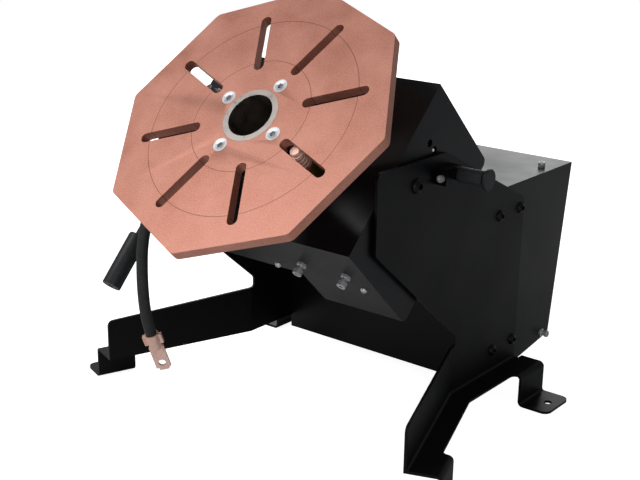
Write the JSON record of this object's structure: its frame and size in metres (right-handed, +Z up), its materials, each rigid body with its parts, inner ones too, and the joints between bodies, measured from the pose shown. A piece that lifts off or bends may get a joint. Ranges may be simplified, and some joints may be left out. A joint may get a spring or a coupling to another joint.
{
  "type": "welding positioner",
  "caption": "Bench welding positioner: a tilting head turns an octagonal slotted copper table between folded side plates on splayed feet.",
  "frame": {"origin": "on the floor, midway between the two rear anchor holes", "axes": "+X to the machine's right along the tilt axis, +Y to the back, +Z up"},
  "size_m": [0.73, 0.7161, 0.6203],
  "materials": {
    "black_sheet": "satin",
    "black_steel": "satin",
    "copper": "brushed",
    "steel": "machined",
    "bearing_steel": "ground",
    "zinc": "plated",
    "iron": "machined",
    "aluminium": "cast",
    "bronze": "turned",
    "black_plastic": "moulded",
    "cable_rubber": "matt",
    "circuit": "lacquered",
    "carbon_copper": "sintered"
  },
  "bodies": {
    "base": {"side_plate_right": "black_sheet", "side_plate_left": "black_sheet", "pivot_bushes": "bronze", "side_bolts_right": "black_steel", "side_bolts_left": "black_steel", "base_tub": "black_sheet", "top_cover": "black_sheet", "top_stud": "zinc", "rear_panel": "black_sheet", "panel_screws": "black_steel", "power_inlet": "black_plastic", "pedal_socket": "black_plastic", "speed_pot": "black_plastic", "power_switch": "black_plastic", "direction_switch": "black_plastic", "power_supply": "aluminium", "control_board": "circuit", "earth_stud": "zinc", "plunger_block": "black_steel", "plunger_block_screw": "zinc"},
    "table": {"table_plate": "copper", "spindle": "copper", "table_screws": "zinc", "driven_gear": "steel", "spindle_nut": "steel"},
    "pinion": {"pinion": "steel"},
    "brush": {"brush": "carbon_copper", "brush_spring": "copper"},
    "plunger": {"plunger_pin": "steel", "plunger_grip": "black_plastic"},
    "knob": {"speed_knob": "black_plastic"},
    "rocker": {"power_rocker": "black_plastic"},
    "toggle": {"direction_toggle": "zinc"},
    "head": {"head_cheek_right": "black_sheet", "head_cheek_left": "black_sheet", "head_front_plate": "black_sheet", "head_top_cover": "black_sheet", "head_bottom_cover": "black_sheet", "head_rear_cover": "black_sheet", "motor_cover": "black_sheet", "head_cover_screws": "zinc", "pivot_bolt_right": "black_steel", "pivot_stud_left": "black_steel", "lever_hub": "black_steel", "lever_rod": "black_steel", "lever_grip": "black_plastic", "bearing_housing": "aluminium", "front_bearing": "bearing_steel", "rear_bearing": "bearing_steel", "housing_screws": "black_steel", "gearbox": "iron", "drive_motor": "black_steel", "gearbox_bolts": "zinc", "brush_holder": "bronze", "bus_strap": "copper", "terminal_bolt": "zinc", "cable": "cable_rubber", "cable_lug": "copper", "cable_terminal": "copper"}
  },
  "joints": [
    {"name": "head_tilt", "type": "hinge", "parent": "base", "child": "head", "pos_m": [0, -0.266, 0.385], "axis": [1, 0, 0], "range_deg": [-45, 45]},
    {"name": "table_spin", "type": "hinge", "parent": "head", "child": "table", "pos_m": [0, -0.37302, 0.46798], "axis": [0, -0.7071, 0.7071], "continuous": true},
    {"name": "pinion_spin", "type": "hinge", "parent": "head", "child": "pinion", "pos_m": [0.1175, -0.27943, 0.37439], "axis": [0, -0.7071, 0.7071], "continuous": true},
    {"name": "brush_slide", "type": "slide", "parent": "head", "child": "brush", "axis": [0, -0.7071, 0.7071], "range_m": [-0.003, 0], "stiffness_N_per_m": 1500, "springref_m": 0.003},
    {"name": "plunger_slide", "type": "slide", "parent": "base", "child": "plunger", "axis": [1, 0, 0], "range_m": [-0.009, 0]},
    {"name": "speed_knob_turn", "type": "hinge", "parent": "base", "child": "knob", "pos_m": [-0.09, 0.16751, 0.25389], "axis": [0, 0.9899, -0.1419], "range_deg": [-135, 135]},
    {"name": "power_rock", "type": "hinge", "parent": "base", "child": "rocker", "pos_m": [0.1, 0.16751, 0.25389], "axis": [-1, 0, 0], "range_deg": [0, 14]},
    {"name": "direction_tip", "type": "hinge", "parent": "base", "child": "toggle", "pos_m": [0, 0.16158, 0.25474], "axis": [-1, 0, 0], "range_deg": [0, 20]}
  ],
  "couplings": [
    {"joint": "pinion_spin", "follows": "table_spin", "ratio": -3.2727}
  ]
}
